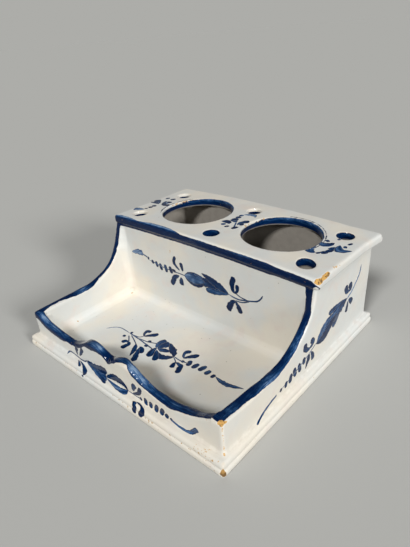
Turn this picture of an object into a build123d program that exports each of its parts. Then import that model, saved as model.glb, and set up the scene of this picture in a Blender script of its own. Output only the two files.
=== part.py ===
"""A slab-built, tin-glazed earthenware desk inkwell.

A low pen tray with a shaped front rim stands before a covered box. The box's top plate is pierced
with two wells for ink pots and six holes for quills. Every piece is a slab, strip or coil of clay
that was cut or rolled by itself and luted to its neighbours with slip, so the pieces meet face to
face and nothing moves. +X is the right-hand side, -Y the front and +Z up. The origin is the middle
of the underside.
"""

import os

from build123d import *

# Base slab
base_width = 210.0
base_depth = 192.5
base_thickness = 5.0
base_corner_radius = 3.0
base_arris_radius = 1.5

# How far the base shows beyond the walls
front_ledge = 7.3
side_ledge = 5.0
back_ledge = 5.0

# Walls
wall_thickness = 6.0
rim_arris_radius = 1.6

# The tray's level side rim, and how far under the top plate the quarter circle ends by which the
# rim climbs to the riser's front face
rim_height = 30.0
climb_drop = 1.0
riser_front = 8.0

# The front wall's rim: two lobes that meet in a cusp, a long sag and a rise to each corner
cusp_height = 26.0
cusp_radius = 2.5
lobe_height = 32.0
lobe_offset = 16.0
sag_height = 20.7
sag_offset = 51.6

# Top plate
overall_height = 80.5
plate_thickness = 7.0
plate_front_overhang = 1.0
plate_side_overhang = 2.0
plate_back_overhang = 8.4
plate_corner_radius = 3.0
plate_upper_arris = 2.2
plate_lower_arris = 1.2

# Wells and quill holes, placed back from the riser's front face
well_radius = 31.1
well_spacing = 87.0
well_setback = 46.0
quill_radius = 6.25
quill_spacing = 84.0
quill_row_spacing = 56.5
quill_front_setback = 14.25

# Moulding round the foot of the walls: a cove against the wall, a flat and a rounded edge
moulding_inset = 1.0
moulding_height = 4.2
cove_rise = 1.5
cove_share = 0.35
round_drop = 2.4
round_share = 0.5

# Coils of clay pressed into the tray's inner corners
coil_leg = 5.0
coil_lip = 0.4
front_coil_drop = 5.0

# Places worked out from the sizes above
body_half_width = base_width / 2 - side_ledge
body_front = front_ledge - base_depth / 2
body_back = base_depth / 2 - back_ledge
inner_half_width = body_half_width - wall_thickness
tray_front = body_front + wall_thickness
riser_back = riser_front + wall_thickness
box_back = body_back - wall_thickness
plate_underside = overall_height - plate_thickness
climb_top = plate_underside - climb_drop
climb_radius = climb_top - rim_height
climb_start = riser_front - climb_radius
well_line = riser_front + well_setback
quill_middle = riser_front + quill_front_setback + quill_row_spacing / 2
# The middle of a quarter round lies this share of its radius in from the corner that it rounds
quarter_middle = 1 - 0.5**0.5
outward = {"front": (0, -1, 0), "back": (0, 1, 0), "left": (-1, 0, 0), "right": (1, 0, 0)}


def save(part, name):
    """Names a finished piece and writes it as its own file."""
    part.label = name
    export_step(part, f"parts/{name}.step")


def slab_plan(x_low, x_high, y_low, y_high):
    """Adds a rectangle between two pairs of faces to the open sketch."""
    with Locations(((x_low + x_high) / 2, (y_low + y_high) / 2)):
        Rectangle(x_high - x_low, y_high - y_low)


def mitred_plan(side, near, far):
    """The four corners of one mitred side of a frame that lies between two rectangles.

    Each rectangle is given as its four faces: (x_low, x_high, y_low, y_high).
    """
    plan = []
    for (x_low, x_high, y_low, y_high), turn in ((near, 1), (far, -1)):
        ends = {
            "front": [(x_low, y_low), (x_high, y_low)],
            "back": [(x_low, y_high), (x_high, y_high)],
            "left": [(x_low, y_low), (x_low, y_high)],
            "right": [(x_high, y_low), (x_high, y_high)],
        }[side]
        plan += ends[::turn]
    return plan


def section_plane(side, faces, leaving):
    """The plane of a section that stands on the base, with its corner on one side's face.

    Local x leaves the face in the given direction and local y is up.
    """
    x_low, x_high, y_low, y_high = faces
    place = {"front": (0, y_low), "back": (0, y_high), "left": (x_low, 0), "right": (x_high, 0)}[side]
    return Plane(
        origin=(*place, base_thickness),
        x_dir=leaving,
        z_dir=Vector(leaving).cross(Vector(0, 0, 1)),
    )


os.makedirs("parts", exist_ok=True)

# Base slab: the floor of the tray and the box, and the lower step of the foot
with BuildPart() as base_slab:
    with BuildSketch():
        RectangleRounded(base_width, base_depth, base_corner_radius)
    extrude(amount=base_thickness)
    fillet(base_slab.faces().sort_by(Axis.Z)[-1].edges(), base_arris_radius)
save(base_slab.part, "base_slab")

# Front wall: its upper edge is cut to the shaped rim. Each lobe is an arc through the cusp, the sag
# is an arc tangent to the lobe and level at its lowest point, and the rise starts level there and
# ends at the height of the side rim.
lobe_rise = lobe_height - cusp_height
lobe_radius = (lobe_offset**2 + lobe_rise**2) / (2 * lobe_rise)
sag_reach = sag_offset - lobe_offset
sag_rise = sag_height - (lobe_height - lobe_radius)
sag_radius = (sag_reach**2 + sag_rise**2 - lobe_radius**2) / (2 * (lobe_radius - sag_rise))
turn_share = lobe_radius / (lobe_radius + sag_radius)
turn_x = lobe_offset + sag_reach * turn_share
turn_z = lobe_height - lobe_radius + (sag_rise + sag_radius) * turn_share
with BuildPart() as front_wall:
    with BuildSketch(Plane.XZ.offset(-body_front)):
        with BuildLine():
            lobe = ThreePointArc((0, cusp_height), (lobe_offset, lobe_height), (turn_x, turn_z))
            sag = TangentArc(lobe @ 1, (sag_offset, sag_height), tangent=lobe % 1)
            rise = TangentArc(sag @ 1, (inner_half_width, rim_height), tangent=(1, 0))
            Polyline(rise @ 1, (inner_half_width, base_thickness), (0, base_thickness), lobe @ 0)
        make_face()
        mirror(about=Plane.YZ)
        fillet(vertices().filter_by_position(Axis.X, -1, 1).sort_by(Axis.Y)[-1], cusp_radius)
    extrude(amount=-wall_thickness)
    fillet(front_wall.edges().filter_by(GeomType.CIRCLE), rim_arris_radius)
save(front_wall.part, "front_wall")

# Side walls: the tray's side and the box's end are one slab, cut to the level rim and the climb
for name, outer_face, inward_thickness, outer_index in (
    ("side_wall_left", -body_half_width, wall_thickness, 0),
    ("side_wall_right", body_half_width, -wall_thickness, -1),
):
    with BuildPart() as side_wall:
        with BuildSketch(Plane.YZ.offset(outer_face)):
            with BuildLine():
                level = Line((body_front, rim_height), (climb_start, rim_height))
                climb = TangentArc(level @ 1, (riser_front, climb_top), tangent=level % 1)
                Polyline(
                    climb @ 1,
                    (riser_front, plate_underside),
                    (body_back, plate_underside),
                    (body_back, base_thickness),
                    (body_front, base_thickness),
                    level @ 0,
                )
            make_face()
        extrude(amount=inward_thickness)
        climbing_rim = side_wall.edges().filter_by(GeomType.CIRCLE)
        level_rim = side_wall.edges().filter_by(Axis.Y).group_by(Axis.Z)[1]
        front_top = side_wall.edges().filter_by(Axis.X).group_by(Axis.Y)[0].sort_by(Axis.Z)[-1]
        outer = side_wall.faces().filter_by(Axis.X).sort_by(Axis.X)[outer_index]
        corners = outer.edges().filter_by(Axis.Z).sort_by(Axis.Y)
        fillet([*climbing_rim, *level_rim, front_top, corners[0], corners[-1]], rim_arris_radius)
    save(side_wall.part, name)

# Riser and back wall: plain slabs between the side walls, under the top plate
for name, face_low, face_high in (
    ("riser_wall", riser_front, riser_back),
    ("back_wall", box_back, body_back),
):
    with BuildPart() as cross_wall:
        with BuildSketch(Plane.XY.offset(base_thickness)):
            slab_plan(-inner_half_width, inner_half_width, face_low, face_high)
        extrude(amount=plate_underside - base_thickness)
    save(cross_wall.part, name)

# Top plate: it overhangs the box on all sides, and its wells and quill holes go right through
with BuildPart() as top_plate:
    with BuildSketch(Plane.XY.offset(plate_underside)):
        slab_plan(
            -body_half_width - plate_side_overhang,
            body_half_width + plate_side_overhang,
            riser_front - plate_front_overhang,
            body_back + plate_back_overhang,
        )
        fillet(vertices(), plate_corner_radius)
    extrude(amount=plate_thickness)
    fillet(top_plate.faces().sort_by(Axis.Z)[-1].edges(), plate_upper_arris)
    fillet(top_plate.faces().sort_by(Axis.Z)[0].edges(), plate_lower_arris)
    with BuildSketch(Plane.XY.offset(plate_underside)):
        with Locations((0, well_line)):
            with GridLocations(well_spacing, 0, 2, 1):
                Circle(well_radius)
        with Locations((0, quill_middle)):
            with GridLocations(quill_spacing, quill_row_spacing, 3, 2):
                Circle(quill_radius)
    extrude(amount=plate_thickness, mode=Mode.SUBTRACT)
save(top_plate.part, "top_plate")

# Foot mouldings: four strips on the base slab against the walls, mitred where they meet. The front
# ledge is wider, so the section is stretched across each strip to keep the mitres matched.
wall_faces = (-body_half_width, body_half_width, body_front, body_back)
moulding_edges = (
    moulding_inset - base_width / 2,
    base_width / 2 - moulding_inset,
    moulding_inset - base_depth / 2,
    base_depth / 2 - moulding_inset,
)
ledges = {"front": front_ledge, "back": back_ledge, "left": side_ledge, "right": side_ledge}
for side, ledge in ledges.items():
    strip_width = ledge - moulding_inset
    cove = strip_width * cove_share
    rounding = strip_width * round_share
    with BuildPart() as foot_moulding:
        with BuildSketch(section_plane(side, wall_faces, outward[side])):
            with BuildLine():
                Polyline(
                    (0, moulding_height + cove_rise),
                    (0, 0),
                    (strip_width, 0),
                    (strip_width, moulding_height - round_drop),
                )
                ThreePointArc(
                    (strip_width, moulding_height - round_drop),
                    (strip_width - rounding * quarter_middle, moulding_height - round_drop * quarter_middle),
                    (strip_width - rounding, moulding_height),
                )
                Line((strip_width - rounding, moulding_height), (cove, moulding_height))
                ThreePointArc(
                    (cove, moulding_height),
                    (cove * quarter_middle, moulding_height + cove_rise * quarter_middle),
                    (0, moulding_height + cove_rise),
                )
            make_face()
        extrude(amount=base_width, both=True)
        with BuildSketch(Plane.XY.offset(base_thickness)):
            with BuildLine():
                Polyline(*mitred_plan(side, wall_faces, moulding_edges), close=True)
            make_face()
        extrude(amount=moulding_height + cove_rise, mode=Mode.INTERSECT)
    save(foot_moulding.part, f"foot_moulding_{side}")

# The section of every coil: two legs along the clay it joins and a hollow face between their lips
with BuildSketch() as coil_section:
    with BuildLine():
        Polyline((coil_lip, coil_leg), (0, coil_leg), (0, 0), (coil_leg, 0), (coil_leg, coil_lip))
        RadiusArc((coil_leg, coil_lip), (coil_lip, coil_leg), coil_leg - coil_lip)
    make_face()

# Floor coils: four mitred strips in the seams between the tray's floor and the walls round it
tray_faces = (-inner_half_width, inner_half_width, tray_front, riser_front)
coil_edges = (
    coil_leg - inner_half_width,
    inner_half_width - coil_leg,
    tray_front + coil_leg,
    riser_front - coil_leg,
)
opposite = {"front": "back", "back": "front", "left": "right", "right": "left"}
for side, facing in opposite.items():
    with BuildPart() as floor_coil:
        with BuildSketch(section_plane(side, tray_faces, outward[facing])):
            add(coil_section.sketch)
        extrude(amount=base_width, both=True)
        with BuildSketch(Plane.XY.offset(base_thickness)):
            with BuildLine():
                Polyline(*mitred_plan(side, tray_faces, coil_edges), close=True)
            make_face()
        extrude(amount=coil_leg, mode=Mode.INTERSECT)
    save(floor_coil.part, f"floor_coil_{side}")

# Corner coils: upright, from the floor coils to just under the front rim, or at the riser to where
# the climbing rim comes as near as the coil is wide
back_coil_top = climb_top - (climb_radius**2 - (climb_radius - coil_leg) ** 2) ** 0.5
corner_coils = {
    "front_left": (-inner_half_width, tray_front, (1, 0, 0), rim_height - front_coil_drop),
    "front_right": (inner_half_width, tray_front, (0, 1, 0), rim_height - front_coil_drop),
    "back_left": (-inner_half_width, riser_front, (0, -1, 0), back_coil_top),
    "back_right": (inner_half_width, riser_front, (-1, 0, 0), back_coil_top),
}
for corner, (x, y, leg_direction, coil_top) in corner_coils.items():
    coil_foot = base_thickness + coil_leg
    with BuildPart() as corner_coil:
        with BuildSketch(Plane(origin=(x, y, coil_foot), x_dir=leg_direction, z_dir=(0, 0, 1))):
            add(coil_section.sketch)
        extrude(amount=coil_top - coil_foot)
    save(corner_coil.part, f"corner_coil_{corner}")
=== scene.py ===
"""A slab-built desk inkwell in tin-glazed earthenware, painted in cobalt blue.

The clay pieces of the frame are fused and softened into one glazed skin, bowed a little as hand-made
slabs are, and divided into its pieces again. The painter's band runs along the rims, and a floral
sprig lies on each panel. Lengths in the frame are metres; the values named in millimetres here are
turned by MM.
"""

import math

import bmesh
import bpy
import numpy as np
from mathutils import Matrix, Vector, noise
from mathutils.bvhtree import BVHTree


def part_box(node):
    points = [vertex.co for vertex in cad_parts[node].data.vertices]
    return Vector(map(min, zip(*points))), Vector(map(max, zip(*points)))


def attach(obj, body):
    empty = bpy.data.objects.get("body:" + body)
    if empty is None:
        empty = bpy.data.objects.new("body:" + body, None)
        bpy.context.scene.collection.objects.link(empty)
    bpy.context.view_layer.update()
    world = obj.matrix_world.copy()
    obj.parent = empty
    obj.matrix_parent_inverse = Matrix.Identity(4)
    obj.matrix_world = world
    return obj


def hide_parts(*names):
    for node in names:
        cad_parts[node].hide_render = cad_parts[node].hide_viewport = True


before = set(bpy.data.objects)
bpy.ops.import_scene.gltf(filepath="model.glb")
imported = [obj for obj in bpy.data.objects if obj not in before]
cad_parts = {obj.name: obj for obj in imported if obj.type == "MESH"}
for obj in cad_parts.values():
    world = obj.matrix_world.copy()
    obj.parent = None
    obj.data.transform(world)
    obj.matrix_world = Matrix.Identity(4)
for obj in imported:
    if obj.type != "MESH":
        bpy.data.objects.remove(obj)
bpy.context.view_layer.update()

bl_info = {
    "name": "Ceramic Inkwell",
    "version": (1, 0, 0),
    "blender": (4, 5, 0),
    "location": "3D View > Sidebar > Inkwell",
    "description": "Glazes and paints a slab-built earthenware inkwell on its packed frame",
    "category": "Object",
}

MM = 0.001


def linear(hex_colour):
    """An sRGB hex colour as the linear RGBA that a shader takes."""
    channels = [int(hex_colour[i : i + 2], 16) / 255 for i in (1, 3, 5)]
    return (*(c / 12.92 if c <= 0.04045 else ((c + 0.055) / 1.055) ** 2.4 for c in channels), 1.0)


def length(name, description, millimetres):
    """A length that a user may change."""
    return bpy.props.FloatProperty(
        name=name, description=description, default=millimetres * MM, unit="LENGTH"
    )


def colour(name, description, hex_colour):
    """A colour that a user may change."""
    return bpy.props.FloatVectorProperty(
        name=name, description=description, default=linear(hex_colour), size=4, min=0, max=1, subtype="COLOR"
    )


def share(name, description, value):
    """A share between nothing and all that a user may change."""
    return bpy.props.FloatProperty(
        name=name, description=description, default=value, min=0, max=1, subtype="FACTOR"
    )


class InkwellClay(bpy.types.PropertyGroup):
    """How the slabs were fused, softened, cut and bowed."""

    grain: length("Grain", "Distance between the skin's points", 0.9)
    soft_rounds: bpy.props.IntProperty(
        name="Softening",
        description="Rounds of smoothing that melt the arrises and fill the creases",
        default=5,
    )
    ripple: length("Ripple", "How far the rolled slabs rise and fall", 0.26)
    ripple_width: length("Ripple width", "Distance between those rises", 30)
    plate_lift: length("Plate lift", "How far the top plate's middle stands above the frame's", 1.0)
    plate_crown: length("Plate crown", "How far the top plate's two ends bow down", 2.7)
    plate_tilt: share("Plate tilt", "Fall of the top plate to the right, as a slope", 0.0176)
    plate_nod: share("Plate nod", "Fall of the top plate to the back, as a slope", 0.015)
    climb_fullness: length("Climb fullness", "How much fuller than a quarter circle the climb was cut", 2.0)
    lobe_shift: length("Lobe shift", "How far left of the middle the front rim's lobes were cut", 3.3)
    groove: length("Groove", "Depth of the seam between the base slab and the foot moulding", 0.4)
    cut_gap: length("Cut gap", "How far from a face the skin is divided", 0.6)


class InkwellColours(bpy.types.PropertyGroup):
    """Glaze, clay and cobalt."""

    cool_white: colour("Cool white", "Tin glaze where it lies thick", "#D0D1CD")
    warm_white: colour("Warm white", "Tin glaze where it lies thin", "#DAD4C7")
    blush: colour("Blush", "Faint tint of the clay under the glaze", "#D5C9C0")
    speck: colour("Speck", "Pinholes and iron specks", "#5C4B3A")
    clay: colour("Clay", "Bare buff earthenware", "#C69A57")
    clay_dark: colour("Dark clay", "Bare earthenware that has taken dirt", "#6E5433")
    inked: colour("Inked clay", "Bare clay inside the box, grey from old ink", "#958F86")
    smudge: colour("Smudge", "Where old ink lies thickest inside the box", "#595550")
    navy: colour("Navy", "Cobalt where the brush left most", "#001A40")
    blue: colour("Blue", "Cobalt at full strength", "#103259")
    mid_blue: colour("Middle blue", "Cobalt in a thinner stroke", "#32547E")
    pale_blue: colour("Pale blue", "Cobalt in a thin wash", "#7B93AE")


class InkwellBrush(bpy.types.PropertyGroup):
    """The painter's brushwork."""

    relief: length("Relief", "Height of a stroke over the skin", 0.05)
    sink: length("Sink", "Depth of a stroke's underside in the skin", 0.3)
    mesh_step: length("Stroke step", "Distance between a stroke's points along it", 0.6)
    fray: length("Fray", "How far the band's edges wander", 1.2)
    load: bpy.props.FloatProperty(name="Load", description="Width of every stroke, as a factor", default=1.0)
    wobble: share("Wobble", "How unevenly a stroke's edges run, as a share of its width", 0.16)


class InkwellStage(bpy.types.PropertyGroup):
    """Floor, light and view."""

    floor: colour("Floor", "Pale floor and backdrop", "#B5B5B1")
    ceiling: colour("Ceiling", "Grey that gloss sees above", "#4C4C4A")
    ambient: share("Ambient", "Even light from all round, as a share of full light", 0.11)
    key: share("Key", "Soft light at the right, as a share of full light", 0.75)
    fill: share("Fill", "Soft light in front and above, as a share of full light", 0.76)
    softness: bpy.props.FloatProperty(
        name="Softness",
        description="Width of each light, as seen from the inkwell",
        default=math.radians(14),
        subtype="ANGLE",
    )
    lens: bpy.props.FloatProperty(name="Lens", description="Focal length for a 36 mm frame", default=29.71)


def faces_of(node):
    """Lowest and highest corner of a node in millimetres."""
    return [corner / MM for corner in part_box(node)]


# Faces of the frame that the skin, the band and the sprigs are placed by (millimetres)
LEDGE = faces_of("base_slab")[1].z
PLATE_LOW, PLATE_HIGH = faces_of("top_plate")
SIDE_LOW, SIDE_HIGH = faces_of("side_wall_right")
FRONT_LOW, FRONT_HIGH = faces_of("front_wall")
RISER_LOW, RISER_HIGH = faces_of("riser_wall")
BACK_LOW, BACK_HIGH = faces_of("back_wall")
COIL_INNER_X = -faces_of("floor_coil_left")[1].x
COIL_TOP = faces_of("corner_coil_back_left")[1].z
OUTER_X = SIDE_HIGH.x
INNER_X = SIDE_LOW.x
HALF_WALL = (OUTER_X - INNER_X) / 2
FRONT_FACE = FRONT_LOW.y
TRAY_FRONT = FRONT_HIGH.y
RISER_FACE = RISER_LOW.y
BACK_FACE = BACK_HIGH.y
PLATE_UNDER = PLATE_LOW.z
PLATE_TOP = PLATE_HIGH.z
PLATE_FRONT = PLATE_LOW.y

# The rims, as the potter cut them (millimetres)
RIM_HEIGHT = 30.0
CLIMB_TOP = PLATE_UNDER - 1.0
CLIMB_RADIUS = CLIMB_TOP - RIM_HEIGHT
CLIMB_START = RISER_FACE - CLIMB_RADIUS
CUSP_HEIGHT = 26.0
LOBE_HEIGHT = 32.0
LOBE_OFFSET = 16.0
SAG_HEIGHT = 20.7
SAG_OFFSET = 51.6
WELL_RADIUS = 31.1
WELLS = [(-43.5, 54.0), (43.5, 54.0)]
QUILL_RADIUS = 6.25
QUILLS = [(x, y) for x in (-84.0, 0.0, 84.0) for y in (22.25, 78.75)]


def front_rim(x):
    """Height of the front wall's rim at each x."""
    away = np.abs(x)
    rise = LOBE_HEIGHT - CUSP_HEIGHT
    lobe = (LOBE_OFFSET**2 + rise**2) / (2 * rise)
    reach = SAG_OFFSET - LOBE_OFFSET
    drop = SAG_HEIGHT - (LOBE_HEIGHT - lobe)
    sag = (reach**2 + drop**2 - lobe**2) / (2 * (lobe - drop))
    turn = LOBE_OFFSET + reach * lobe / (lobe + sag)
    end_reach = INNER_X - SAG_OFFSET
    end_rise = RIM_HEIGHT - SAG_HEIGHT
    end = (end_reach**2 + end_rise**2) / (2 * end_rise)
    on_lobe = LOBE_HEIGHT - lobe + np.sqrt(np.clip(lobe**2 - (away - LOBE_OFFSET) ** 2, 0, None))
    on_sag = SAG_HEIGHT + sag - np.sqrt(np.clip(sag**2 - (away - SAG_OFFSET) ** 2, 0, None))
    on_end = SAG_HEIGHT + end - np.sqrt(np.clip(end**2 - (away - SAG_OFFSET) ** 2, 0, None))
    return np.where(away < turn, on_lobe, np.where(away < SAG_OFFSET, on_sag, on_end))


def under_side_rim(y, z):
    """How far each point lies inside the side wall's rim."""
    beyond = y - CLIMB_START
    climbing = np.hypot(beyond, z - CLIMB_TOP) - CLIMB_RADIUS
    return np.where(beyond < 0, RIM_HEIGHT - z, np.where(z < CLIMB_TOP, climbing, y - RISER_FACE))


# Where hand work left the slabs uneven: places along a wall and the millimetres there
RIGHT_RIM_THICKER = [
    (-86, 2.8), (-74, 2.8), (-62, 2.2), (-54, 1.8), (-46, 0.9), (-36, 0.9), (-24, 0.1), (-10, 0.4), (8, 0.6),
]
LEFT_RIM_THICKER = [(-85, 1.0), (-60, 2.0), (-45, 2.6), (-22, 1.6), (-8, 0.6), (4, 1.0)]
LEFT_RIM_LEANED = [(-50, 0), (-30, 0.8), (-22, 1.0), (-8, 0.9), (-2, 1.1), (4, 1.2)]
FRONT_WALL_THICKER = [
    (-90, 0), (-46, 0.3), (-41, 2.0), (-33, 2.5), (-28, 2.2), (-22, 1.4), (-15, 0.8), (-8, 0.3), (-3, 0.6),
    (0.5, 1.8), (4, 0.6), (8, 0.8), (12, 1.8), (16, 1.6), (20, 0.8), (28, 0.3), (35, 0.8), (43, 0.7),
    (51, 1.4), (59, 0.7), (67, 1.4), (74, 1.6), (82, 0.8), (88, 1.8), (92, 2.6),
]
LEFT_CLIMB_FULLER = [(34, 0), (42, 1.1), (50, 2.6), (60, 3.3), (67, 2.4), (72.5, 0.6)]
TRAY_RIM_HIGHER = [
    (-100, 0), (-93, -0.6), (-85, -1.8), (-72, -0.4), (-55, 0), (55, 0), (72, 1.0), (85, 1.9), (94, 1.2),
]

# How far the plate's front corners flare, the depth that a rim's thickness fades over, the rise of the
# front right corner and the lean of the back wall (millimetres)
PLATE_FLARE = 0.8
RIM_FADE = 14.0
CORNER_RAISE = 2.2
BACK_LEAN = 1.6


def read_off(table, at):
    """The values of a table of places and values at other places."""
    return np.interp(at, *zip(*table))


def ramp(values, start, end):
    """How far values have come from a start to an end, as a share from 0 to 1."""
    return np.clip((values - start) / (end - start), 0, 1)


def field(points, size, seed):
    """Smooth noise at points in millimetres, with features of that size."""
    shift = Vector((seed * 17.3, seed * 5.1, seed * 9.7))
    return np.array([noise.noise(Vector(p) / size + shift) for p in points])


def thickened(x, y, z, near_rim, on_side, on_front):
    """The rims as they were left, thicker than the walls under them, and the plate's flared front corners."""
    flared = PLATE_FLARE * ramp(y, PLATE_FRONT + 34, PLATE_FRONT) * on_side
    near_rim = np.where(z > PLATE_UNDER - 1, flared, near_rim)
    from_outer = OUTER_X - np.abs(x)
    on_right = read_off(RIGHT_RIM_THICKER, y) * ramp(from_outer, 2, 5)
    on_left = read_off(LEFT_RIM_THICKER, y) * ramp(from_outer, 5, 0) + read_off(LEFT_RIM_LEANED, y)
    x = x - near_rim * np.where(x > 0, on_right, on_left)
    inner_face = ramp(y, FRONT_FACE + 2, FRONT_FACE + 5)
    y = y + read_off(FRONT_WALL_THICKER, x) * inner_face * on_front * ramp(z, LEDGE + 3, LEDGE + 15)
    return x, y


def climbed(x, y, z, near_rim, clay):
    """The sides' climb as it was cut, fuller than a quarter circle, most on the left."""
    fuller = clay.climb_fullness / MM * np.sin(np.pi * ramp(y, CLIMB_START, RISER_FACE))
    fuller = (fuller + (x < 0) * read_off(LEFT_CLIMB_FULLER, z)) * near_rim * (z < CLIMB_TOP)
    to_middle_y, to_middle_z = CLIMB_START - y, CLIMB_TOP - z
    fuller = fuller / np.maximum(np.hypot(to_middle_y, to_middle_z), 1)
    return y + to_middle_y * fuller, z + to_middle_z * fuller


def trimmed(x, y, z, on_side, on_front, clay):
    """The tray's rim as it was trimmed: uneven in height, with the front lobes off the middle."""
    under_rim = ramp(z, LEDGE, np.where(on_side > 0, RIM_HEIGHT, front_rim(x)))
    higher = read_off(TRAY_RIM_HIGHER, x)
    higher = higher + CORNER_RAISE * ramp(np.hypot(x - OUTER_X, y - FRONT_FACE), 22, 0)
    in_tray = ramp(y, RISER_FACE - 8, RISER_FACE - 48)
    z = z + higher * under_rim * in_tray * np.maximum(on_front, on_side)
    shifted = ramp(np.abs(x), 66, 40) * on_front * ramp(z, LEDGE + 4, LEDGE + 14)
    return x - clay.lobe_shift / MM * shifted, z


def sagged(x, y, z, clay):
    """The box as it dried: the plate crowned and tilted, with the walls after it, and the back leaning."""
    up = ramp(z, LEDGE, PLATE_UNDER)
    lift = clay.plate_lift / MM - clay.plate_tilt * x - clay.plate_crown / MM * (x / PLATE_HIGH.x) ** 2
    lift = lift - clay.plate_nod * (y - WELLS[0][1])
    z = z + lift * up * ramp(y, CLIMB_START, RISER_FACE)
    return y + BACK_LEAN * (up - 0.4) * ramp(y, RISER_HIGH.y, BACK_FACE) * (z < PLATE_UNDER), z


def cut_off_round(x, y, z):
    """The right front quill hole, cut too wide towards the well, and the plate's corner drawn out behind."""
    hole_x, hole_y = QUILLS[-2]
    on_arris = ramp(np.hypot(x - hole_x, y - hole_y), 14.5, 5.5) * (z > PLATE_UNDER - 4)
    towards_well = on_arris * ramp(0.8 * (y - hole_y) - 0.6 * (x - hole_x), 0, 8)
    x, y = x - 1.6 * towards_well, y + 2.4 * towards_well
    corner = ramp(np.hypot(x - PLATE_HIGH.x, y - PLATE_HIGH.y), 24, 0) * (z > PLATE_UNDER - 3.5)
    return x + 2.2 * corner, y + 1.4 * corner


def bowed(points, clay):
    """Points in millimetres, moved as the slabs were cut by hand and bowed and leaned in drying."""
    x, y, z = points.T
    on_side = ramp(np.abs(x), INNER_X - 3, INNER_X)
    on_front = ramp(y, TRAY_FRONT + 4, TRAY_FRONT)
    near_rim = ramp(under_side_rim(y, z), RIM_FADE, 0) * ramp(y, RISER_FACE + 9, RISER_FACE + 1) * on_side
    x, y = thickened(x, y, z, near_rim, on_side, on_front)
    y, z = climbed(x, y, z, near_rim, clay)
    x, z = trimmed(x, y, z, on_side, on_front, clay)
    y, z = sagged(x, y, z, clay)
    x, y = cut_off_round(x, y, z)
    return np.stack([x, y, z], 1)


def relaxed(values, edges, rounds):
    """Each value moved half-way to the mean of its neighbours along the edges, again and again."""
    count = np.bincount(edges.ravel(), minlength=len(values))[:, None]
    for _ in range(rounds):
        total = np.zeros_like(values)
        np.add.at(total, edges[:, 0], values[edges[:, 1]])
        np.add.at(total, edges[:, 1], values[edges[:, 0]])
        values = (values + total / count) / 2
    return values


# The painter's band: places along a wall and the band's edges there (millimetres), or how much paint it took
# Where a side band stops short of the arris facing the right-hand light, that bare strip is partly painted
# highlight
RIGHT_BAND_OUTER = [
    (-86, 1.2), (-65, 1.0), (-56, -0.6), (-47, -1.0), (-38, -2.0), (-30, -1.2), (-20, -0.8), (-12, -0.6),
    (-8, 0.2), (-2, 0.6), (4, 0.5),
]
RIGHT_BAND_INNER = [(-80, 6.9), (-40, 6.6), (-10, 6.9), (8, 7.2)]
LEFT_BAND_INNER = [(-84, 6.2), (-76, 4.0), (-66, 3.8), (-50, 6.8), (-36, 6.8), (-24, 4.2), (0, 5.4)]
# Bare outer arris at x 16 to 20 and pale patches at the lobes' right flanks: partly a painted highlight
FRONT_BAND_SPILL = [
    (-96, 5), (-88, 5.4), (-82, 4.8), (-68, 4), (-60, 3), (-55, 1.2), (-45, 1.6), (-33, 3.2), (-28, 2.6),
    (-19, 5), (-14, 4), (-6, 1.8), (4, 2.6), (8, 2.2), (12, 0.4), (16, -1.4), (20, -2), (23, 1), (26, 3),
    (34, 2.2), (39, 0.9), (43, 0.4), (59, 2), (67, 0.2), (84, -0.5), (88, -0.6), (93, -1.4), (97, -0.2),
]
FRONT_BAND_PAINT_AND_HIGHLIGHTS = [
    (-98, 0.1), (-90, -0.35), (-80, -0.2), (-60, 0.05), (-40, 0.35), (-28, 0.3), (-18, -0.2), (-10, -0.45),
    (-3, 0.6), (6, 0.25), (16, 0), (24, -0.5), (34, -0.35), (44, 0.1), (60, 0.1), (90, 0.35),
]
PLATE_BAND_LOWER = [(-100, -9.6), (50, -9.6), (70, -7.4), (90, -7.2), (97, -7), (100, -4.4)]
PLATE_BAND_WASHES = [
    (-102, 1), (-96, 3.4), (-88, 3.4), (-80, 2.5), (-72, 1.2), (-64, 1.8), (-57, 3.4), (-42, 3.6), (-33, 3),
    (-26, 1.5), (-20, -0.4), (-10, -0.7), (0, -0.6), (20, -0.8), (40, -0.3), (60, 0), (75, -1), (90, -1),
    (97, -1.4), (100, -3),
]
PLATE_PALE_RUNS = [(-14, 0), (-8, 0.4), (6, 0.4), (12, 0), (24, 0), (30, 0.4), (46, 0.4), (54, 0)]
WELL_RING_REACH = [(-98, -0.2), (-60, 0.2), (0, 0.9), (40, 1.1), (75, 0.5), (95, -0.2)]

# Edges of the band that run even, and how far outside the band a point counts as at first (millimetres)
LEFT_BAND_OUTER = -1.6
FRONT_BAND_INNER = 6.9
HOLE_BAND_INNER = -5.6
UNPAINTED = -5.0


class Band:
    """The painted band: how far inside it each point lies, where along and across it, and its paint."""

    def __init__(self, count):
        self.inside = np.full(count, UNPAINTED)
        # The paint taken sets how dark the cobalt lies; its pale values include painted highlights on the
        # front rim and in the holes
        self.along, self.across, self.taken = (np.zeros(count) for _ in range(3))

    def lay(self, where, low, high, at, run, load, steady=1.0):
        """Paints between two limits of a coordinate across the band, with a more or less steady hand."""
        depth = np.minimum(at - low, high - at) * steady
        deeper = where & (depth > self.inside)
        given = ((self.inside, depth), (self.along, run), (self.across, at), (self.taken, load))
        for kept, values in given:
            kept[deeper] = np.broadcast_to(values, kept.shape)[deeper]


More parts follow.
